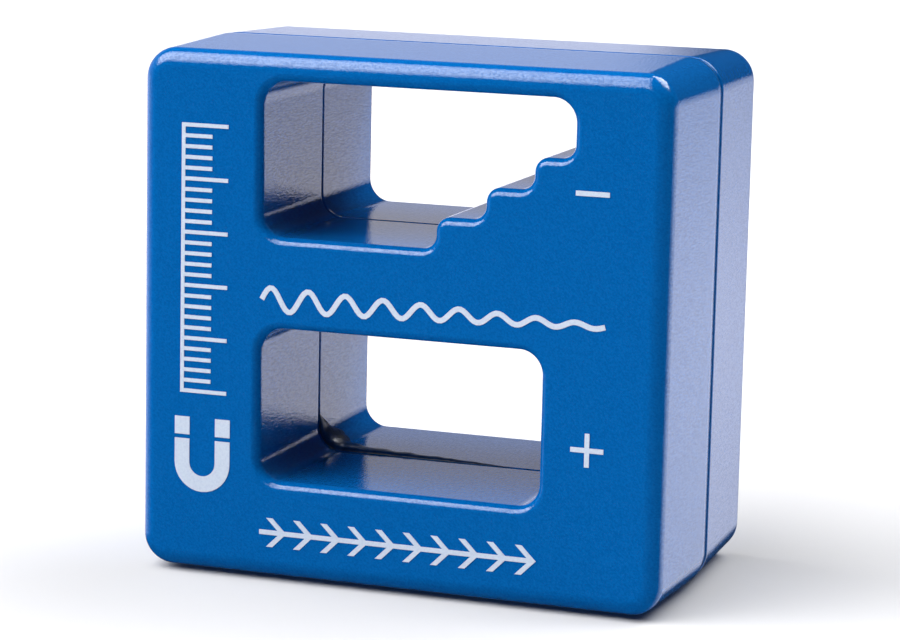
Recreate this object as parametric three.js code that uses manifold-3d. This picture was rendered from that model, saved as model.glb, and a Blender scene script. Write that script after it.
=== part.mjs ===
// Block demagnetizer for watchmakers' hand tools.
//
// Two hollow moulded half shells are cemented face to face round a pair of ferrite
// magnets. The lower window magnetizes a tool held in it. The stepped upper window
// demagnetizes a tool that is drawn through it and away.
//
// Units are millimetres. X runs to the right, Y runs from the printed front face to the
// plain rear face, Z is up. The origin is the bottom centre of the block.

import * as THREE from 'three';
import { mergeVertices } from 'three/addons/utils/BufferGeometryUtils.js';
import Module from 'manifold-3d';

const wasm = await Module();
wasm.setup();

// ---- Driving dimensions -------------------------------------------------------------

const WIDTH = 52; // across the front shell's rim, the widest place
const HEIGHT = 50;
const DEPTH = 29;
const FRONT_Y = -DEPTH / 2;
const REAR_Y = DEPTH / 2;
const SEAM_Y = 0.9; // where the two shells meet
const RIM_STEP = 0.1; // how far the front rim stands proud of the rear rim

const CORNER_R = 3.4; // corners of the block seen from the front, at the rim
const FRONT_EDGE_R = 1.65;
const REAR_EDGE_R = 1;
const FRONT_DRAFT = Math.tan(THREE.MathUtils.degToRad(1.77));
const REAR_DRAFT = Math.tan(THREE.MathUtils.degToRad(1.56));
const WALL = 2;

// The lower window, a plain rounded rectangle.
const LOWER = { left: -13.5, right: 13.9, floor: 9.6, ceiling: 24.05, cornerR: 2.2 };

// The upper window, whose floor climbs to the right in three steps.
const UPPER = { left: -13.5, right: 16.45, floor: 32.6, ceiling: 47, cornerR: 2.2 };
const RISER_X = [3.5, 8.2, 12.7];
const RISER_HEIGHT = 3;
const STEP_R = 1.3;
const SHARP_R = 0.05; // the least radius of any corner in an outline
const WINDOW_EDGE_R = 0.8;

// Ferrite blocks, one in each column beside the lower window.
const MAGNET = { width: 7.5, depth: 24, height: 24, chamfer: 0.4 };
const MAGNET_BOTTOM = 6.6;
const COLUMN_X = [-19.75, 19.95]; // middles of the left and right columns' hollows
const MAGNET_NAMES = ['left_magnet', 'right_magnet'];

// Locating pins on the front shell and their sockets in the rear shell.
const PIN = { radius: 1, boss: 2, reach: 4, clearance: 0.3 };
const PIN_PLACES = [
  [-19.75, 43.6],
  [21.1, 43.6],
  [-19.75, 4.3],
  [19.95, 4.3],
];

// Tongue on the front shell's rim and rebate in the rear shell's rim.
const TONGUE = { inset: 1.2, height: 1.2 };
const REBATE = { inset: 1, depth: 1.5 };

const RIB = 1.2;
const RIB_GAP = 0.3; // ribs and bosses stop this far short of the seam and the magnets

// Squeezed-out cement in the lower left corner of the lower window.
const CEMENT = { end: 6, rise: 2, thick: 0.35, width: 2, gap: 0.05 };

// Printed marks, all one ink film on the front face.
const INK = 0.05;
const INK_LINE = 0.45;
const PLUS = { x: 18.53, z: 15.52, size: 3.1 };
const MINUS = { x: 18.4, z: 38.72, size: 3.15 };
const WAVE = { left: -13.2, right: 19.9, z: 26.85, height: 2.8, cycles: 9, faded: 0.15, line: 0.5 };
const ARROWS = { left: -13.2, right: 14, z: 4.8, height: 2.75, count: 10, line: 0.45 };
const SCALE = { x: -21.2, long: 4.5, short: 2.9, bottom: 17.6, pitch: 1, ticks: 25, line: 0.36 };
const HORSESHOE = { x: -19.1, z: 10.8, outer: 2.8, inner: 1.3, leg: 2.2, gap: 0.4, tip: 1.7 };

// ---- Colours ------------------------------------------------------------------------

const BLUE = new THREE.MeshStandardMaterial({ color: 0x0b5fa9, roughness: 0.42, metalness: 0 });
const FERRITE = new THREE.MeshStandardMaterial({ color: 0x2e2f31, roughness: 0.7, metalness: 0.1 });
const CEMENT_BLUE = new THREE.MeshStandardMaterial({ color: 0x0a2c5e, roughness: 0.2, metalness: 0 });
const WHITE_INK = new THREE.MeshStandardMaterial({ color: 0xe4ebf4, roughness: 0.5, metalness: 0 });

// ---- Solids -------------------------------------------------------------------------

/** Turns a closed three.js geometry into a solid that can be cut and joined. */
function solidOf(geometry) {
  const bare = geometry.clone();
  bare.deleteAttribute('normal');
  bare.deleteAttribute('uv');
  const merged = mergeVertices(bare);
  const triVerts = Uint32Array.from(merged.index.array);
  const vertProperties = Float32Array.from(merged.attributes.position.array);
  return new wasm.Manifold(new wasm.Mesh({ numProp: 3, vertProperties, triVerts }));
}

/** Turns a cut or joined solid back into a three.js geometry. */
function geometryOf(solid) {
  const { vertProperties, triVerts } = solid.getMesh();
  const geometry = new THREE.BufferGeometry();
  geometry.setAttribute('position', new THREE.BufferAttribute(Float32Array.from(vertProperties), 3));
  geometry.setIndex(new THREE.BufferAttribute(Uint32Array.from(triVerts), 1));
  geometry.computeVertexNormals();
  return geometry;
}

function named(name, geometry, material) {
  const mesh = new THREE.Mesh(geometry, material);
  mesh.name = name;
  return mesh;
}

/** A block between two opposite corners. */
function blockSolid(low, high) {
  const size = high.map((value, axis) => value - low[axis]);
  const middle = high.map((value, axis) => (value + low[axis]) / 2);
  return solidOf(new THREE.BoxGeometry(...size).translate(...middle));
}

/** A round post along Y. */
function postSolid(radius, x, z, fromY, toY) {
  const geometry = new THREE.CylinderGeometry(radius, radius, toY - fromY, 24);
  return solidOf(geometry.translate(x, (fromY + toY) / 2, z));
}

// ---- Outlines in the XZ plane ---------------------------------------------------------

/**
 * The outline of a right-angled shape with rounded corners, grown by `offset`.
 * Corners are { x, z, r }, anticlockwise seen from the front. Growing it widens the
 * radius of an outer corner and narrows that of an inner one, as a true offset does.
 */
function roundedOutline(corners, offset, arcSteps) {
  const points = [];
  corners.forEach((corner, index) => {
    const before = corners[(index + corners.length - 1) % corners.length];
    const after = corners[(index + 1) % corners.length];
    const arriving = new THREE.Vector2(corner.x - before.x, corner.z - before.z).normalize();
    const leaving = new THREE.Vector2(after.x - corner.x, after.z - corner.z).normalize();
    const side = Math.sign(arriving.cross(leaving)); // +1 at an outer corner
    const normalIn = new THREE.Vector2(arriving.y, -arriving.x);
    const normalOut = new THREE.Vector2(leaving.y, -leaving.x);
    const radius = Math.max(corner.r + side * offset, SHARP_R);
    const both = normalIn.clone().add(normalOut);
    const centre = new THREE.Vector2(corner.x, corner.z).addScaledVector(both, offset - side * radius);
    for (let step = 0; step <= arcSteps; step += 1) {
      const angle = (Math.PI / 2) * (step / arcSteps);
      const point = centre.clone();
      point.addScaledVector(normalIn, side * radius * Math.cos(angle));
      point.addScaledVector(normalOut, side * radius * Math.sin(angle));
      points.push(point);
    }
  });
  return points;
}

function rectangleCorners(left, right, bottom, top, r) {
  return [
    { x: left, z: bottom, r },
    { x: right, z: bottom, r },
    { x: right, z: top, r },
    { x: left, z: top, r },
  ];
}

const BLOCK_CORNERS = rectangleCorners(-WIDTH / 2, WIDTH / 2, 0, HEIGHT, CORNER_R);
const LOWER_CORNERS = rectangleCorners(LOWER.left, LOWER.right, LOWER.floor, LOWER.ceiling, LOWER.cornerR);

function upperCorners() {
  const corners = [{ x: UPPER.left, z: UPPER.floor, r: UPPER.cornerR }];
  RISER_X.forEach((x, index) => {
    corners.push({ x, z: UPPER.floor + index * RISER_HEIGHT, r: STEP_R });
    corners.push({ x, z: UPPER.floor + (index + 1) * RISER_HEIGHT, r: STEP_R });
  });
  corners.push({ x: UPPER.right, z: UPPER.floor + RISER_X.length * RISER_HEIGHT, r: STEP_R });
  corners.push({ x: UPPER.right, z: UPPER.ceiling, r: UPPER.cornerR });
  corners.push({ x: UPPER.left, z: UPPER.ceiling, r: UPPER.cornerR });
  return corners;
}

const UPPER_CORNERS = upperCorners();

/**
 * A closed solid through a stack of outlines. Levels are { y, offset }, front to rear,
 * and each one grows the same corners by its own offset.
 */
function loftSolid(corners, levels, arcSteps = 5) {
  const rings = levels.map((level) => roundedOutline(corners, level.offset, arcSteps));
  const count = rings[0].length;
  const positions = [];
  rings.forEach((ring, index) => {
    ring.forEach((point) => positions.push(point.x, levels[index].y, point.y));
  });
  const triangles = [];
  for (let ring = 0; ring + 1 < rings.length; ring += 1) {
    for (let i = 0; i < count; i += 1) {
      const a = ring * count + i;
      const b = ring * count + ((i + 1) % count);
      triangles.push(a, b + count, b, a, a + count, b + count);
    }
  }
  const last = (rings.length - 1) * count;
  THREE.ShapeUtils.triangulateShape(rings[0], []).forEach(([a, b, c]) => {
    triangles.push(a, b, c);
  });
  THREE.ShapeUtils.triangulateShape(rings[rings.length - 1], []).forEach(([a, b, c]) => {
    triangles.push(last + c, last + b, last + a);
  });
  const geometry = new THREE.BufferGeometry();
  geometry.setAttribute('position', new THREE.Float32BufferAttribute(positions, 3));
  geometry.setIndex(triangles);
  return solidOf(geometry);
}

/** Levels of a quarter-round edge: depth below the face and how far the side stands in. */
function roundedEdge(radius, steps) {
  return Array.from({ length: steps + 1 }, (_, step) => {
    const angle = (Math.PI / 2) * (step / steps);
    return { depth: radius * (1 - Math.cos(angle)), inset: radius * (1 - Math.sin(angle)) };
  });
}

// ---- Shells ---------------------------------------------------------------------------

/** The whole outside of the front half, a drafted block with a rounded front edge. */
function frontOutside() {
  const levels = roundedEdge(FRONT_EDGE_R, 4).map(({ depth, inset }) => ({
    y: FRONT_Y + depth,
    offset: -inset - FRONT_DRAFT * (SEAM_Y - FRONT_Y - depth),
  }));
  levels.push({ y: SEAM_Y, offset: 0 });
  return loftSolid(BLOCK_CORNERS, levels, 6);
}

/** The whole outside of the rear half, a little smaller at the rim than the front half. */
function rearOutside() {
  const levels = roundedEdge(REAR_EDGE_R, 3).map(({ depth, inset }) => ({
    y: REAR_Y - depth,
    offset: -inset - RIM_STEP - REAR_DRAFT * (REAR_Y - depth - SEAM_Y),
  }));
  levels.push({ y: SEAM_Y, offset: -RIM_STEP });
  return loftSolid(BLOCK_CORNERS, levels.reverse(), 6);
}

/** The space of a window, straight inside and flared at both faces by a rounded edge. */
function windowSpace(corners) {
  const flare = roundedEdge(WINDOW_EDGE_R, 3);
  const front = flare.map(({ depth, inset }) => ({ y: FRONT_Y + depth, offset: inset }));
  const rear = flare.map(({ depth, inset }) => ({ y: REAR_Y - depth, offset: inset })).reverse();
  const levels = [
    { y: FRONT_Y - 1, offset: WINDOW_EDGE_R },
    ...front,
    ...rear,
    { y: REAR_Y + 1, offset: WINDOW_EDGE_R },
  ];
  return loftSolid(corners, levels);
}

function bothWindows() {
  return windowSpace(UPPER_CORNERS).add(windowSpace(LOWER_CORNERS));
}

/** The hollow between the outer wall and the window walls, from one depth to another. */
function hollow(fromY, toY, outerInset) {
  const inside = loftSolid(BLOCK_CORNERS, [
    { y: fromY, offset: -outerInset },
    { y: toY, offset: -outerInset },
  ]);
  const walls = [UPPER_CORNERS, LOWER_CORNERS].map((corners) => loftSolid(corners, [
    { y: fromY - 1, offset: WALL },
    { y: toY + 1, offset: WALL },
  ]));
  return inside.subtract(walls[0]).subtract(walls[1]);
}

/** Cross ribs that hold a magnet from below and above in its column. */
function magnetRibs(fromY, toY) {
  const top = MAGNET_BOTTOM + MAGNET.height;
  const ends = [
    [MAGNET_BOTTOM - RIB_GAP - RIB, MAGNET_BOTTOM - RIB_GAP],
    [top + RIB_GAP, top + RIB_GAP + RIB],
  ];
  const half = MAGNET.width / 2 + 1;
  const ribs = COLUMN_X.flatMap((x) => ends.map(([low, high]) => (
    blockSolid([x - half, fromY, low], [x + half, toY, high])
  )));
  return ribs.reduce((all, rib) => all.add(rib));
}

function posts(radius, fromY, toY) {
  const each = PIN_PLACES.map(([x, z]) => postSolid(radius, x, z, fromY, toY));
  return each.reduce((all, post) => all.add(post));
}

/** The solid bar above the upper window, where the rims butt with no tongue. */
function topBar(margin) {
  const low = [UPPER.left - WALL - margin, FRONT_Y, UPPER.ceiling];
  const high = [UPPER.right + WALL + margin, REAR_Y, HEIGHT];
  return blockSolid(low, high);
}

/** The rebate inside the rear shell's rim that takes the tongue. */
function rebate() {
  return hollow(SEAM_Y - 1, SEAM_Y + REBATE.depth, REBATE.inset).subtract(topBar(0));
}

/** The tongue that stands past the seam, inside the rear shell's rim. */
function tongue() {
  const fromY = SEAM_Y - 1;
  const toY = SEAM_Y + TONGUE.height;
  const ring = loftSolid(BLOCK_CORNERS, [
    { y: fromY, offset: -TONGUE.inset },
    { y: toY, offset: -TONGUE.inset },
  ]);
  const middle = loftSolid(BLOCK_CORNERS, [
    { y: fromY - 1, offset: -WALL },
    { y: toY + 1, offset: -WALL },
  ]);
  return ring.subtract(middle).subtract(topBar(RIB_GAP));
}

function frontShell() {
  const floor = FRONT_Y + WALL;
  const buried = floor - WALL / 2; // ribs and bosses start inside the front wall
  const solid = frontOutside()
    .subtract(hollow(floor, SEAM_Y + 1, WALL))
    .subtract(bothWindows())
    .add(magnetRibs(buried, SEAM_Y - RIB_GAP))
    .add(posts(PIN.boss, buried, SEAM_Y - RIB_GAP))
    .add(posts(PIN.radius, SEAM_Y - 1, SEAM_Y + PIN.reach))
    .add(tongue());
  return named('front_shell', geometryOf(solid), BLUE);
}

function rearShell() {
  const floor = REAR_Y - WALL;
  const buried = floor + WALL / 2;
  const sockets = posts(PIN.radius + PIN.clearance, SEAM_Y - 1, SEAM_Y + PIN.reach + RIB_GAP);
  const solid = rearOutside()
    .subtract(hollow(SEAM_Y - 1, floor, WALL))
    .subtract(bothWindows())
    .add(magnetRibs(SEAM_Y, buried))
    .add(posts(PIN.boss, SEAM_Y, buried))
    .subtract(rebate())
    .subtract(sockets);
  return named('rear_shell', geometryOf(solid), BLUE);
}

// ---- Inside ---------------------------------------------------------------------------

/** One ferrite block with chamfered long edges, centred on the origin. */
function magnetGeometry() {
  const { width, depth, height, chamfer } = MAGNET;
  const shape = new THREE.Shape();
  const halfWidth = width / 2 - chamfer;
  const halfHeight = height / 2 - chamfer;
  shape.moveTo(-halfWidth, -halfHeight);
  shape.lineTo(halfWidth, -halfHeight);
  shape.lineTo(halfWidth, halfHeight);
  shape.lineTo(-halfWidth, halfHeight);
  const geometry = new THREE.ExtrudeGeometry(shape, {
    depth: depth - 2 * chamfer,
    bevelEnabled: true,
    bevelThickness: chamfer,
    bevelSize: chamfer,
    bevelSegments: 1,
  });
  geometry.translate(0, 0, chamfer - depth / 2);
  return geometry.rotateX(Math.PI / 2);
}

function magnets() {
  const geometry = magnetGeometry();
  return COLUMN_X.map((x, index) => {
    const mesh = named(MAGNET_NAMES[index], geometry, FERRITE);
    mesh.position.set(x, (FRONT_Y + REAR_Y) / 2, MAGNET_BOTTOM + MAGNET.height / 2);
    return mesh;
  });
}

// ---- Cement ---------------------------------------------------------------------------

/** A bead that hugs the window's lower left corner, thinning up the wall and along the floor. */
function cementBead() {
  const { end, rise, thick, width, gap } = CEMENT;
  const left = LOWER.left + gap;
  const floor = LOWER.floor + gap;
  const radius = LOWER.cornerR - gap;
  const shape = new THREE.Shape();
  shape.moveTo(left, floor + radius + rise);
  shape.lineTo(left, floor + radius);
  shape.absarc(left + radius, floor + radius, radius, Math.PI, 1.5 * Math.PI, false);
  shape.lineTo(end, floor);
  shape.lineTo(left + radius, floor + thick);
  shape.absarc(left + radius, floor + radius, radius - thick, 1.5 * Math.PI, Math.PI, true);
  const geometry = new THREE.ExtrudeGeometry(shape, { depth: width, bevelEnabled: false, curveSegments: 5 });
  geometry.rotateX(Math.PI / 2).translate(0, SEAM_Y + width, 0);
  return named('cement_bead', geometry, CEMENT_BLUE);
}

// ---- Printed marks ----------------------------------------------------------------------

/** A film of ink on the front face. The shape is drawn in the face's own X and Z. */
function inkMark(name, shape) {
  const geometry = new THREE.ExtrudeGeometry(shape, { depth: INK, bevelEnabled: false, curveSegments: 8 });
  geometry.rotateX(Math.PI / 2).translate(0, FRONT_Y, 0);
  return named(name, geometry, WHITE_INK);
}

/** A line of even width along a row of points, with square ends. */
function ribbonShape(points, width) {
  const left = [];
  const right = [];
  points.forEach((point, index) => {
    const before = points[Math.max(index - 1, 0)];
    const after = points[Math.min(index + 1, points.length - 1)];
    const along = after.clone().sub(before).normalize();
    const across = new THREE.Vector2(-along.y, along.x).multiplyScalar(width / 2);
    left.push(point.clone().add(across));
    right.push(point.clone().sub(across));
  });
  return new THREE.Shape([...right, ...left.reverse()]);
}

function minusMark() {
  const half = MINUS.size / 2;
  const points = [-half, half].map((x) => new THREE.Vector2(MINUS.x + x, MINUS.z));
  return inkMark('minus_mark', ribbonShape(points, INK_LINE));
}

function plusMark() {
  const arm = PLUS.size / 2;
  const half = INK_LINE / 2;
  const quarter = [[half, half], [half, arm], [-half, arm], [-half, half]];
  const outline = [];
  for (let turn = 0; turn < 4; turn += 1) {
    quarter.slice(1).forEach(([x, z]) => {
      const point = new THREE.Vector2(x, z).rotateAround(new THREE.Vector2(), turn * Math.PI / 2);
      outline.push(point.add(new THREE.Vector2(PLUS.x, PLUS.z)));
    });
  }
  return inkMark('plus_mark', new THREE.Shape(outline));
}

/** A wave that dies away, the sign for a demagnetizing field. */
function fadingWaveMark() {
  const steps = WAVE.cycles * 14;
  const amplitude = (WAVE.height - WAVE.line) / 2;
  const points = Array.from({ length: steps + 1 }, (_, step) => {
    const along = step / steps;
    const fade = THREE.MathUtils.lerp(1, WAVE.faded, along);
    const swing = amplitude * fade * Math.sin(2 * Math.PI * WAVE.cycles * along);
    return new THREE.Vector2(THREE.MathUtils.lerp(WAVE.left, WAVE.right, along), WAVE.z + swing);
  });
  return inkMark('fading_wave_mark', ribbonShape(points, WAVE.line));
}

/** Chevrons in line on one shaft, the sign for aligned magnetism. */
function arrowRowMark() {
  const { left, right, z, height, count, line } = ARROWS;
  const half = line / 2;
  const sweep = height / 2; // each barb runs back at 45 degrees
  const thick = line * Math.SQRT2;
  const pitch = (right - left) / count;
  const upper = [];
  for (let index = 1; index <= count; index += 1) {
    const tip = left + index * pitch;
    upper.push([tip - thick - half, half], [tip - thick - sweep, sweep]);
    upper.push([tip - sweep, sweep], [tip - half, half]);
  }
  const lower = upper.map(([x, rise]) => [x, -rise]).reverse();
  const outline = [[left, half], ...upper, [right, 0], ...lower, [left, -half]];
  const points = outline.map(([x, rise]) => new THREE.Vector2(x, z + rise));
  return inkMark('arrow_row_mark', new THREE.Shape(points));
}

/** A plain graduated rule up the left column, each fifth tick long. */
function scaleMark() {
  const { x, long, short, bottom, pitch, ticks, line } = SCALE;
  const half = line / 2;
  const outline = [[x - half, bottom - half]];
  for (let tick = 0; tick <= ticks; tick += 1) {
    const z = bottom + tick * pitch;
    const length = tick % 5 === 0 ? long : short;
    outline.push([x + (tick === 0 ? length : half), z - half]);
    if (tick > 0) {
      outline.push([x + length, z - half]);
    }
    outline.push([x + length, z + half]);
    if (tick < ticks) {
      outline.push([x + half, z + half]);
    }
  }
  outline.push([x - half, bottom + ticks * pitch + half]);
  const points = outline.map(([across, z]) => new THREE.Vector2(across, z));
  return inkMark('scale_mark', new THREE.Shape(points));
}

/** The bow and legs of a horseshoe magnet that opens upwards. */
function horseshoeMark() {
  const { x, z, outer, inner, leg } = HORSESHOE;
  const shape = new THREE.Shape();
  shape.moveTo(x - outer, z + leg);
  shape.lineTo(x - outer, z);
  shape.absarc(x, z, outer, Math.PI, 2 * Math.PI, false);
  shape.lineTo(x + outer, z + leg);
  shape.lineTo(x + inner, z + leg);
  shape.lineTo(x + inner, z);
  shape.absarc(x, z, inner, 0, -Math.PI, true);
  shape.lineTo(x - inner, z + leg);
  return inkMark('horseshoe_mark', shape);
}

/** The horseshoe's pole tips, each a patch of ink above a leg. */
function poleTipMarks() {
  const { x, z, outer, inner, leg, gap, tip } = HORSESHOE;
  const low = z + leg + gap;
  const middle = (outer + inner) / 2;
  const sides = { left_pole_mark: -middle, right_pole_mark: middle };
  return Object.entries(sides).map(([name, side]) => {
    const points = [low, low + tip].map((height) => new THREE.Vector2(x + side, height));
    return inkMark(name, ribbonShape(points, outer - inner));
  });
}

// ---- Assembly ---------------------------------------------------------------------------

const demagnetizer = new THREE.Group();
demagnetizer.add(frontShell(), rearShell(), ...magnets(), cementBead());
demagnetizer.add(minusMark(), plusMark(), fadingWaveMark(), arrowRowMark());
demagnetizer.add(scaleMark(), horseshoeMark(), ...poleTipMarks());

export default demagnetizer;
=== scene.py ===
"""Looks of the block demagnetizer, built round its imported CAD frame.

The two blue half shells and the cement between them get fine meshes with rounded edges in
place of their faceted CAD solids. The magnets and the printed marks keep their CAD shapes.
Sizes are in millimetres and become metres as the meshes are made.
"""

import math

import bmesh
import bpy
from mathutils import Matrix, Vector, geometry, noise


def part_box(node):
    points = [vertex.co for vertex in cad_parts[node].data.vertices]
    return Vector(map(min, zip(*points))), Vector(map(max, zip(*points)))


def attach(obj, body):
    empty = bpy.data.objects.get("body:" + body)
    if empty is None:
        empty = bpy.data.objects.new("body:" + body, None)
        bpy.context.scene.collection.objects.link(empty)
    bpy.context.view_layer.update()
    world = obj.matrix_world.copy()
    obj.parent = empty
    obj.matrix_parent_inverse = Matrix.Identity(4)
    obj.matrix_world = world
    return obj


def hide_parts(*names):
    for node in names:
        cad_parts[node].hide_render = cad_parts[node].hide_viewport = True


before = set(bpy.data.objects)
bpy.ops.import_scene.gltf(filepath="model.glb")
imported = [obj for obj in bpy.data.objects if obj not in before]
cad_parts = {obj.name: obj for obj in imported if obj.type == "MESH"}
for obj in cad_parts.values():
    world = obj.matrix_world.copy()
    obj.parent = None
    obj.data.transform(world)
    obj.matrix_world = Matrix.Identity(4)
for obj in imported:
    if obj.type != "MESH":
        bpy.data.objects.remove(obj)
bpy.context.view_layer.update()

MM = 0.001

# ---- Dimensions, in millimetres --------------------------------------------------------

block_low, block_high = (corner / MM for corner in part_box("front_shell"))
rear_low, rear_high = (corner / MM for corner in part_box("rear_shell"))
HALF_WIDTH = block_high.x
HEIGHT = block_high.z
FRONT_Y = block_low.y
SEAM_Y = rear_low.y
REAR_Y = rear_high.y
RIM_STEP = HALF_WIDTH - rear_high.x

CORNER_R = 3.4
FRONT_EDGE_R = 1.65
REAR_EDGE_R = 1.0
FRONT_DRAFT = math.tan(math.radians(1.77))
REAR_DRAFT = math.tan(math.radians(1.56))
WALL = 2.0

WINDOW_CORNER_R = 2.2
LOWER = {"left": -13.5, "right": 13.9, "floor": 9.6, "ceiling": 24.05}
UPPER = {"left": -13.5, "right": 16.45, "floor": 32.6, "ceiling": 47.0}
RISER_X = (3.5, 8.2, 12.7)
RISER_HEIGHT = 3.0
STEP_R = 1.3
SHARP_R = 0.05

# How edges roll over: along the side, and into it.
WINDOW_EDGE = (1.1, 0.8)
FRONT_RIM = (1.8, 0.36)
REAR_RIM = (0.3, 0.24)
FRONT_INNER_RIM = (0.55, 0.2)
REAR_INNER_RIM = (0.3, 0.2)

# How finely each round is drawn.
OUTER_ARC = 14
WINDOW_ARC = 12
HOLLOW_ARC = 4
EDGE_STEPS = 12
RIM_STEPS = 8

# ---- Outlines in the XZ plane ------------------------------------------------------------


def rounded_outline(corners, offset, arc_steps):
    """A right-angled outline with rounded corners, grown by offset as a true offset.

    Corners are (x, z, radius), anticlockwise seen from the front.
    """
    points = []
    for index, (x, z, r) in enumerate(corners):
        corner = Vector((x, z))
        arriving = (corner - Vector(corners[index - 1][:2])).normalized()
        leaving = (Vector(corners[(index + 1) % len(corners)][:2]) - corner).normalized()
        side = 1 if arriving.cross(leaving) > 0 else -1
        normal_in = Vector((arriving.y, -arriving.x))
        normal_out = Vector((leaving.y, -leaving.x))
        radius = max(r + side * offset, SHARP_R)
        centre = corner + (normal_in + normal_out) * (offset - side * radius)
        for step in range(arc_steps + 1):
            angle = math.pi / 2 * step / arc_steps
            spoke = normal_in * math.cos(angle) + normal_out * math.sin(angle)
            points.append(centre + spoke * side * radius)
    return points


def rectangle(left, right, bottom, top, r):
    return [(left, bottom, r), (right, bottom, r), (right, top, r), (left, top, r)]


BLOCK = rectangle(-HALF_WIDTH, HALF_WIDTH, 0.0, HEIGHT, CORNER_R)
LOWER_WINDOW = rectangle(
    LOWER["left"], LOWER["right"], LOWER["floor"], LOWER["ceiling"], WINDOW_CORNER_R
)


def stepped_floor(left_to_right, drop, shift):
    """The corners of the upper window's climbing floor, lowered by drop and moved by shift."""
    corners = []
    for index, x in enumerate(RISER_X):
        tread = UPPER["floor"] + index * RISER_HEIGHT - drop
        corners.append((x + shift, tread, STEP_R))
        corners.append((x + shift, tread + RISER_HEIGHT, STEP_R))
    return corners if left_to_right else corners[::-1]


TOP_TREAD = UPPER["floor"] + len(RISER_X) * RISER_HEIGHT
UPPER_WINDOW = [
    (UPPER["left"], UPPER["floor"], WINDOW_CORNER_R),
    *stepped_floor(True, 0.0, 0.0),
    (UPPER["right"], TOP_TREAD, STEP_R),
    (UPPER["right"], UPPER["ceiling"], WINDOW_CORNER_R),
    (UPPER["left"], UPPER["ceiling"], WINDOW_CORNER_R),
]

# The hollow between the outer wall and the window walls. It has no part above the upper
# window, where the bar is solid.
INNER_CORNER_R = 0.5
HOLLOW_TOP = HEIGHT - WALL
HOLLOW_SIDE = HALF_WIDTH - WALL
HOLLOW = [
    (-HOLLOW_SIDE, WALL, WALL),
    (HOLLOW_SIDE, WALL, WALL),
    (HOLLOW_SIDE, HOLLOW_TOP, WALL),
    (UPPER["right"] + WALL, HOLLOW_TOP, INNER_CORNER_R),
    (UPPER["right"] + WALL, TOP_TREAD - WALL, INNER_CORNER_R),
    *((x, z, INNER_CORNER_R) for x, z, _ in stepped_floor(False, WALL, WALL)),
    (UPPER["left"] - WALL, UPPER["floor"] - WALL, INNER_CORNER_R),
    (UPPER["left"] - WALL, HOLLOW_TOP, INNER_CORNER_R),
    (-HOLLOW_SIDE, HOLLOW_TOP, WALL),
]

# ---- Shell meshes -------------------------------------------------------------------------


def rolled_edge(along, into, steps):
    """(depth, inset) pairs of a quarter-ellipse edge, from the face to the side."""
    for step in range(steps + 1):
        angle = math.pi / 2 * step / steps
        yield along * (1 - math.cos(angle)), into * (1 - math.sin(angle))


def add_ring(bm, corners, offset, arc_steps, y):
    """A closed ring of vertices on one outline, at one depth."""
    outline = rounded_outline(corners, offset, arc_steps)
    return [bm.verts.new((p.x * MM, y * MM, p.y * MM)) for p in outline]


def bridge(bm, rings):
    """Walls between one ring and the next."""
    for ring, following in zip(rings, rings[1:]):
        for index, vert in enumerate(ring):
            after = (index + 1) % len(ring)
            bm.faces.new((vert, ring[after], following[after], following[index]))


def cap(bm, outer, holes=()):
    """A flat face inside one ring and outside the others."""
    rings = [outer, *holes]
    verts = [vert for ring in rings for vert in ring]
    flat = [[(vert.co.x, vert.co.z, 0.0) for vert in ring] for ring in rings]
    for triangle in geometry.tessellate_polygon(flat):
        bm.faces.new([verts[index] for index in triangle])


def make_object(name, bm, material):
    bmesh.ops.recalc_face_normals(bm, faces=bm.faces)
    mesh = bpy.data.meshes.new(name)
    bm.to_mesh(mesh)
    bm.free()
    mesh.materials.append(material)
    piece = bpy.data.objects.new(name, mesh)
    bpy.context.scene.collection.objects.link(piece)
    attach(piece, "root")
    return piece


def smooth(piece, crease):
    """Smooth shading that keeps flat faces flat, and edges sharper than crease degrees."""
    piece.data.shade_smooth()
    piece.data.set_sharp_from_angle(angle=math.radians(crease))
    weighted = piece.modifiers.new("flat_faces", "WEIGHTED_NORMAL")
    weighted.mode = "FACE_AREA"
    weighted.keep_sharp = True


def make_shell(name, face_y, edge_r, draft, rim_step, rim, inner_rim, material):
    """One hollow half shell, from its outer face to the seam.

    Depths run from the outer face towards the seam, so the same steps make both halves.
    rim and inner_rim are how the outer and the window edges roll over at the seam.
    """
    inward = 1 if SEAM_Y > face_y else -1
    length = abs(SEAM_Y - face_y)

    def at(depth):
        return face_y + inward * depth

    def side(depth):
        return -rim_step - draft * (length - depth)

    bm = bmesh.new()
    outer = []
    for depth, inset in rolled_edge(edge_r, edge_r, EDGE_STEPS):
        outer.append(add_ring(bm, BLOCK, side(depth) - inset, OUTER_ARC, at(depth)))
    for back, inset in reversed(list(rolled_edge(*rim, RIM_STEPS))):
        depth = length - back
        outer.append(add_ring(bm, BLOCK, side(depth) - inset, OUTER_ARC, at(depth)))
    bridge(bm, outer)

    windows = []
    for corners in (UPPER_WINDOW, LOWER_WINDOW):
        rings = []
        for depth, flare in rolled_edge(*WINDOW_EDGE, EDGE_STEPS):
            rings.append(add_ring(bm, corners, flare, WINDOW_ARC, at(depth)))
        for back, flare in reversed(list(rolled_edge(*inner_rim, RIM_STEPS))):
            rings.append(add_ring(bm, corners, flare, WINDOW_ARC, at(length - back)))
        bridge(bm, rings)
        windows.append(rings)
    upper, lower = windows
    cap(bm, outer[0], [upper[0], lower[0]])

    hollow = [add_ring(bm, HOLLOW, 0.0, HOLLOW_ARC, at(depth)) for depth in (length, WALL)]
    island = [
        add_ring(bm, LOWER_WINDOW, WALL, HOLLOW_ARC, at(depth)) for depth in (length, WALL)
    ]
    bridge(bm, hollow)
    bridge(bm, island)
    cap(bm, hollow[1], [island[1]])
    cap(bm, outer[-1], [upper[-1], hollow[0]])
    cap(bm, island[0], [lower[-1]])

    shell = make_object(name, bm, material)
    smooth(shell, crease=35)
    return shell


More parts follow.
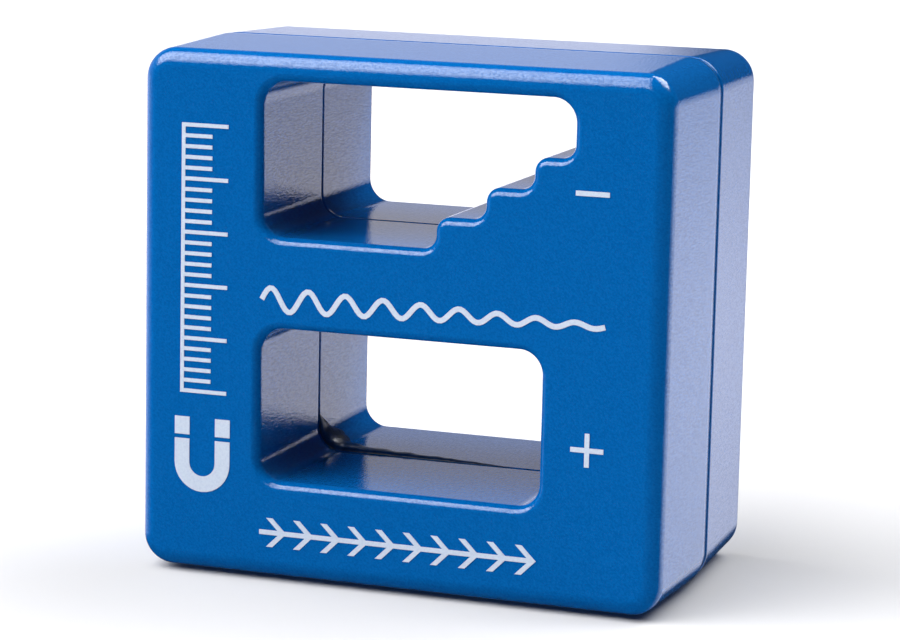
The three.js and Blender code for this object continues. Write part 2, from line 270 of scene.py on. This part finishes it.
# ---- Materials ----------------------------------------------------------------------------

# The moulded grain, drawn out along Y and leaning in the front plane.
GRAIN_LEAN = math.radians(35)
GRAIN_STRETCH = (1.0, 3.0, 0.8)
GRAIN_SCALE = 4700.0
GRAIN_HEIGHT = 0.0000165
PEEL_SCALE = 900.0
PEEL_HEIGHT = 0.00002


def new_material(name):
    """A material with its nodes, its links and its shader."""
    material = bpy.data.materials.new(name)
    material.use_nodes = True
    nodes = material.node_tree.nodes
    return material, nodes, material.node_tree.links, nodes["Principled BSDF"]


def noise_node(nodes, links, coordinates, scale, detail, roughness=0.5):
    """Noise whose scale is in cells per metre."""
    texture = nodes.new("ShaderNodeTexNoise")
    texture.inputs["Scale"].default_value = scale
    texture.inputs["Detail"].default_value = detail
    texture.inputs["Roughness"].default_value = roughness
    links.new(coordinates, texture.inputs["Vector"])
    return texture


def remap(nodes, links, source, low, high, to_low, to_high):
    """The source with the range low to high turned into to_low to to_high, and held there."""
    node = nodes.new("ShaderNodeMapRange")
    node.inputs["From Min"].default_value = low
    node.inputs["From Max"].default_value = high
    node.inputs["To Min"].default_value = to_low
    node.inputs["To Max"].default_value = to_high
    links.new(source, node.inputs["Value"])
    return node.outputs["Result"]


def mix_colours(nodes, links, factor, first, second):
    """The first colour where the factor is 0, the second where it is 1."""
    node = nodes.new("ShaderNodeMix")
    node.data_type = "RGBA"
    node.inputs["A"].default_value = (*first, 1.0)
    node.inputs["B"].default_value = (*second, 1.0)
    links.new(factor, node.inputs["Factor"])
    return node.outputs["Result"]


def add_bump(nodes, links, shader, layers):
    """Bump layers of (height output, distance in metres, strength), the coarsest first."""
    normal = None
    for height, distance, strength in layers:
        bump = nodes.new("ShaderNodeBump")
        bump.inputs["Distance"].default_value = distance
        bump.inputs["Strength"].default_value = strength
        links.new(height, bump.inputs["Height"])
        if normal is not None:
            links.new(normal, bump.inputs["Normal"])
        normal = bump.outputs["Normal"]
    links.new(normal, shader.inputs["Normal"])


def blue_plastic(name, dark, light):
    """Glossy moulded plastic: a fine spark-eroded grain over a slight orange peel."""
    material, nodes, links, shader = new_material(name)
    place = nodes.new("ShaderNodeTexCoord")
    drawn = nodes.new("ShaderNodeMapping")
    drawn.vector_type = "TEXTURE"
    drawn.inputs["Rotation"].default_value = (0.0, GRAIN_LEAN, 0.0)
    drawn.inputs["Scale"].default_value = GRAIN_STRETCH
    links.new(place.outputs["Object"], drawn.inputs["Vector"])
    grain = noise_node(nodes, links, drawn.outputs["Vector"], GRAIN_SCALE, 2.0, 0.6)
    peel = noise_node(nodes, links, place.outputs["Object"], PEEL_SCALE, 2.0)
    tone = remap(nodes, links, grain.outputs["Fac"], 0.35, 0.65, 0.0, 1.0)
    colour = mix_colours(nodes, links, tone, dark, light)
    links.new(colour, shader.inputs["Base Color"])
    gloss = remap(nodes, links, grain.outputs["Fac"], 0.4, 0.6, 0.05, 0.09)
    links.new(gloss, shader.inputs["Roughness"])
    shine = remap(nodes, links, grain.outputs["Fac"], 0.4, 0.6, 0.36, 0.64)
    links.new(shine, shader.inputs["Specular IOR Level"])
    shader.inputs["IOR"].default_value = 1.5
    add_bump(nodes, links, shader, [
        (peel.outputs["Fac"], PEEL_HEIGHT, 0.2),
        (grain.outputs["Fac"], GRAIN_HEIGHT, 1.0),
    ])
    return material


def white_ink():
    """Pad-printed ink: a satin film, a little thin and pinholed."""
    material, nodes, links, shader = new_material("white_ink")
    place = nodes.new("ShaderNodeTexCoord")
    patch = noise_node(nodes, links, place.outputs["Object"], 5000.0, 3.0, 0.6)
    thin = remap(nodes, links, patch.outputs["Fac"], 0.42, 0.68, 0.0, 1.0)
    colour = mix_colours(nodes, links, thin, (0.50, 0.57, 0.68), (0.44, 0.51, 0.64))
    links.new(colour, shader.inputs["Base Color"])
    shader.inputs["Roughness"].default_value = 0.45
    add_bump(nodes, links, shader, [(patch.outputs["Fac"], 0.00001, 0.6)])
    return material


def ferrite():
    """Ground ferrite: charcoal grey, dull, with a coarse sintered grain."""
    material, nodes, links, shader = new_material("ferrite")
    place = nodes.new("ShaderNodeTexCoord")
    grain = noise_node(nodes, links, place.outputs["Object"], 1500.0, 6.0, 0.7)
    fleck = remap(nodes, links, grain.outputs["Fac"], 0.35, 0.7, 0.0, 1.0)
    colour = mix_colours(nodes, links, fleck, (0.022, 0.022, 0.024), (0.060, 0.060, 0.064))
    links.new(colour, shader.inputs["Base Color"])
    dull = remap(nodes, links, grain.outputs["Fac"], 0.3, 0.7, 0.55, 0.8)
    links.new(dull, shader.inputs["Roughness"])
    add_bump(nodes, links, shader, [(grain.outputs["Fac"], 0.00005, 0.5)])
    return material


def dried_cement():
    """Plastic dissolved by solvent and set again: darker, glossy and uneven."""
    material, nodes, links, shader = new_material("dried_cement")
    place = nodes.new("ShaderNodeTexCoord")
    flow = noise_node(nodes, links, place.outputs["Object"], 1100.0, 4.0)
    tone = remap(nodes, links, flow.outputs["Fac"], 0.3, 0.7, 0.0, 1.0)
    colour = mix_colours(nodes, links, tone, (0.0008, 0.014, 0.045), (0.001, 0.035, 0.120))
    links.new(colour, shader.inputs["Base Color"])
    shader.inputs["Roughness"].default_value = 0.3
    add_bump(nodes, links, shader, [(flow.outputs["Fac"], 0.0002, 0.5)])
    return material


def floor_paint():
    """Plain pale matt paint for the studio floor."""
    material, _, _, shader = new_material("floor_paint")
    shader.inputs["Base Color"].default_value = (0.55, 0.55, 0.56, 1.0)
    shader.inputs["Roughness"].default_value = 0.9
    shader.inputs["Specular IOR Level"].default_value = 0.0
    return material


# ---- Cement bead --------------------------------------------------------------------------

BEAD_START = 1.3  # how far up the left wall it begins, above the corner's round
BEAD_END = 6.0  # where it runs out on the floor, in X
BEAD_GAP = 0.05  # how far behind the seam it starts
BEAD_RISE = 0.5
BEAD_WIDTH = 2.5
POOL_AT = 0.16  # the share of the way along where the cement has pooled
POOL_SPREAD = 0.08
POOL_RISE = 0.2
POOL_WIDTH = 2.4
LEAST_RISE = 0.012
LEAST_WIDTH = 0.05
BEAD_RINGS = 60
BEAD_SIDES = 10


def bead_path(share):
    """A point on the window outline and the way into the window, from wall to floor."""
    left = LOWER["left"]
    floor = LOWER["floor"]
    r = WINDOW_CORNER_R
    arc = math.pi / 2 * r
    run = BEAD_END - (left + r)
    at = share * (BEAD_START + arc + run)
    if at < BEAD_START:
        return Vector((left, floor + r + BEAD_START - at)), Vector((1.0, 0.0))
    if at < BEAD_START + arc:
        angle = (at - BEAD_START) / r
        inward = Vector((math.cos(angle), math.sin(angle)))
        return Vector((left + r, floor + r)) - inward * r, inward
    return Vector((left + r + at - BEAD_START - arc, floor)), Vector((0.0, 1.0))


def make_cement_bead(material):
    """A squeezed-out bead, thick in the corner and thinning along the floor."""
    bm = bmesh.new()
    rings = []
    for ring_index in range(BEAD_RINGS + 1):
        share = ring_index / BEAD_RINGS
        point, inward = bead_path(share)
        taper = math.sin(math.pi * min(1.0, share * 7.0 + 0.02) / 2)
        fade = (1 - share) ** 0.7
        uneven = 1 + 0.3 * noise.noise(Vector((share * 20.0, 3.1, 0.7)))
        size = taper * fade * uneven
        pooled = math.exp(-(((share - POOL_AT) / POOL_SPREAD) ** 2))
        height = max((BEAD_RISE + POOL_RISE * pooled) * size, LEAST_RISE)
        width = max((BEAD_WIDTH + POOL_WIDTH * pooled) * size, LEAST_WIDTH)
        ring = []
        for side_index in range(BEAD_SIDES + 1):
            angle = math.pi * side_index / BEAD_SIDES
            y = SEAM_Y + BEAD_GAP + width * (1 - math.cos(angle)) / 2
            spot = point + inward * height * math.sin(angle)
            ring.append(bm.verts.new((spot.x * MM, y * MM, spot.y * MM)))
        rings.append(ring)
    bridge(bm, rings)
    bm.faces.new(rings[0])
    bm.faces.new(rings[-1])
    piece = make_object("cement_squeeze_out", bm, material)
    smooth(piece, crease=60)
    return piece


# ---- Pieces -------------------------------------------------------------------------------

front_blue = blue_plastic("front_blue", (0.0001, 0.078, 0.280), (0.0003, 0.104, 0.352))
# The rear half's blue is a darker copy of the front's blue: painted shade for the weaker light
# that falls on the rear half.
rear_blue_painted_shade = blue_plastic("rear_blue_painted_shade", (0.0006, 0.070, 0.258), (0.0015, 0.094, 0.325))
ink = white_ink()
magnet_grey = ferrite()
cement = dried_cement()

front = make_shell(
    "front_moulding", FRONT_Y, FRONT_EDGE_R, FRONT_DRAFT, 0.0,
    FRONT_RIM, FRONT_INNER_RIM, front_blue,
)
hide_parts("front_shell")
rear = make_shell(
    "rear_moulding", REAR_Y, REAR_EDGE_R, REAR_DRAFT, RIM_STEP,
    REAR_RIM, REAR_INNER_RIM, rear_blue_painted_shade,
)
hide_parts("rear_shell")
bead = make_cement_bead(cement)
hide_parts("cement_bead")

CARRIED_OVER = {
    "left_magnet": magnet_grey,
    "right_magnet": magnet_grey,
    "minus_mark": ink,
    "plus_mark": ink,
    "fading_wave_mark": ink,
    "arrow_row_mark": ink,
    "scale_mark": ink,
    "horseshoe_mark": ink,
    "left_pole_mark": ink,
    "right_pole_mark": ink,
}
for node_name, node_material in CARRIED_OVER.items():
    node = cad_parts[node_name]
    node.data.materials.clear()
    node.data.materials.append(node_material)

# ---- Floor, light and camera ----------------------------------------------------------------

AIM = Vector((0.0, SEAM_Y, HEIGHT / 2)) * MM
CAMERA_AZIMUTH = math.radians(19.45)
CAMERA_ELEVATION = math.radians(9.82)
CAMERA_ROLL = math.radians(1.25)
CAMERA_DISTANCE = 302.77 * MM
LENS = 126.73
SHIFT_X = -0.0025
SHIFT_Y = -0.0176

WALL_LIGHT = 1.4
TABLE_LIGHT = 1.6
TABLE_GLARE = 2.6
ROOM_LIGHT = 0.02
STUDIO_TINT = (1.0, 1.0, 1.14, 1.0)
BOX_DISTANCE = 2.0
FLOOR_RADIUS = 3.0


def make_floor():
    """A plain floor that the object's own gloss doesn't show."""
    bm = bmesh.new()
    bmesh.ops.create_circle(bm, cap_ends=True, radius=FLOOR_RADIUS, segments=64)
    mesh = bpy.data.meshes.new("floor")
    bm.to_mesh(mesh)
    bm.free()
    mesh.materials.append(floor_paint())
    floor = bpy.data.objects.new("floor", mesh)
    bpy.context.scene.collection.objects.link(floor)
    floor.visible_glossy = False
    floor.visible_shadow = False


def softbox(name, azimuth, elevation, half_width, half_height, radiance, slide=0.0):
    """An area light facing the object. Azimuth 0 is the front, 90 the right side.

    Its half width and half height are the angles it covers, in degrees seen from the
    object, before it slides sideways in its own plane, by metres.
    """
    light = bpy.data.lights.new(name, "AREA")
    light.shape = "RECTANGLE"
    light.size = 2 * BOX_DISTANCE * math.tan(math.radians(half_width))
    light.size_y = 2 * BOX_DISTANCE * math.tan(math.radians(half_height))
    light.energy = radiance * math.pi * light.size * light.size_y
    lamp = bpy.data.objects.new(name, light)
    bpy.context.scene.collection.objects.link(lamp)
    turn = math.radians(azimuth)
    lift = math.radians(elevation)
    away = Vector((
        math.sin(turn) * math.cos(lift),
        -math.cos(turn) * math.cos(lift),
        math.sin(lift),
    ))
    sideways = Vector((math.cos(turn), math.sin(turn), 0.0))
    lamp.location = AIM + away * BOX_DISTANCE + sideways * slide
    lamp.rotation_euler = away.to_track_quat("Z", "Y").to_euler()


def calculate(nodes, links, operation, *sources):
    """One operation over all the sources, taken in turn."""
    result = sources[0]
    for source in sources[1:]:
        node = nodes.new("ShaderNodeMath")
        node.operation = operation
        links.new(result, node.inputs[0])
        links.new(source, node.inputs[1])
        result = node.outputs["Value"]
    return result


def make_world():
    """A dark studio with a white wall behind on the left and a bright table on the right."""
    world = bpy.data.worlds.new("studio")
    world.use_nodes = True
    nodes = world.node_tree.nodes
    links = world.node_tree.links
    background = nodes["Background"]
    background.inputs["Color"].default_value = STUDIO_TINT
    place = nodes.new("ShaderNodeTexCoord")
    axes = nodes.new("ShaderNodeSeparateXYZ")
    links.new(place.outputs["Generated"], axes.inputs["Vector"])
    x, y, z = (axes.outputs[axis] for axis in "XYZ")
    wall = calculate(
        nodes, links, "MULTIPLY",
        remap(nodes, links, x, -0.28, -0.25, WALL_LIGHT, 0.0),  # its right edge
        remap(nodes, links, y, -0.5, 0.3, 0.0, 1.0),  # fades towards the front
        remap(nodes, links, z, -0.05, 0.05, 1.0, 0.40),  # dimmer above the horizon
        remap(nodes, links, z, 0.2, 0.6, 1.0, 0.0),  # fades out upwards
        remap(nodes, links, z, -0.32, -0.22, 0.0, 1.0),  # its foot
    )
    glare = calculate(
        nodes, links, "ADD",
        remap(nodes, links, x, 0.08, 0.2, 0.0, TABLE_LIGHT),  # its left edge
        remap(nodes, links, x, 0.45, 0.8, 0.0, TABLE_GLARE),  # brighter further right
    )
    table = calculate(
        nodes, links, "MULTIPLY",
        glare,
        remap(nodes, links, y, 0.2, 0.92, 0.0, 1.0),  # fades towards the side
        remap(nodes, links, z, -0.17, -0.04, 1.0, 0.5),  # dimmer in the distance
        remap(nodes, links, z, 0.0, 0.01, 1.0, 0.0),  # ends at the horizon
        remap(nodes, links, z, -0.3, -0.18, 0.8, 1.0),  # a little dimmer close by
        remap(nodes, links, z, -0.85, -0.6, 0.0, 1.0),  # its near edge
    )
    total = nodes.new("ShaderNodeMath")
    total.operation = "ADD"
    total.inputs[1].default_value = ROOM_LIGHT
    links.new(calculate(nodes, links, "ADD", wall, table), total.inputs[0])
    links.new(total.outputs["Value"], background.inputs["Strength"])
    bpy.context.scene.world = world


def make_camera():
    """A long lens from the front, a little to the right and above."""
    data = bpy.data.cameras.new("camera")
    data.lens = LENS
    data.shift_x = SHIFT_X
    data.shift_y = SHIFT_Y
    data.clip_start = 0.01
    camera = bpy.data.objects.new("camera", data)
    back = Vector((
        math.sin(CAMERA_AZIMUTH) * math.cos(CAMERA_ELEVATION),
        -math.cos(CAMERA_AZIMUTH) * math.cos(CAMERA_ELEVATION),
        math.sin(CAMERA_ELEVATION),
    ))
    level = Vector((math.cos(CAMERA_AZIMUTH), math.sin(CAMERA_AZIMUTH), 0.0))
    upright = back.cross(level)
    right = level * math.cos(CAMERA_ROLL) + upright * math.sin(CAMERA_ROLL)
    up = upright * math.cos(CAMERA_ROLL) - level * math.sin(CAMERA_ROLL)
    turn = Matrix((right, up, back)).transposed()
    camera.matrix_world = Matrix.Translation(AIM + back * CAMERA_DISTANCE) @ turn.to_4x4()
    bpy.context.scene.collection.objects.link(camera)
    bpy.context.scene.camera = camera


make_floor()
make_world()
softbox(
    "top_softbox", azimuth=0, elevation=64,
    half_width=41.5, half_height=34.5, radiance=4.6, slide=-1.7,
)
softbox(
    "top_softbox_core", azimuth=0, elevation=63,
    half_width=33, half_height=23, radiance=3.2, slide=-1.9,
)
softbox(
    "rear_right_lamp", azimuth=138, elevation=55,
    half_width=23, half_height=14, radiance=8.5,
)
make_camera()
bpy.context.scene.view_settings.view_transform = "Standard"
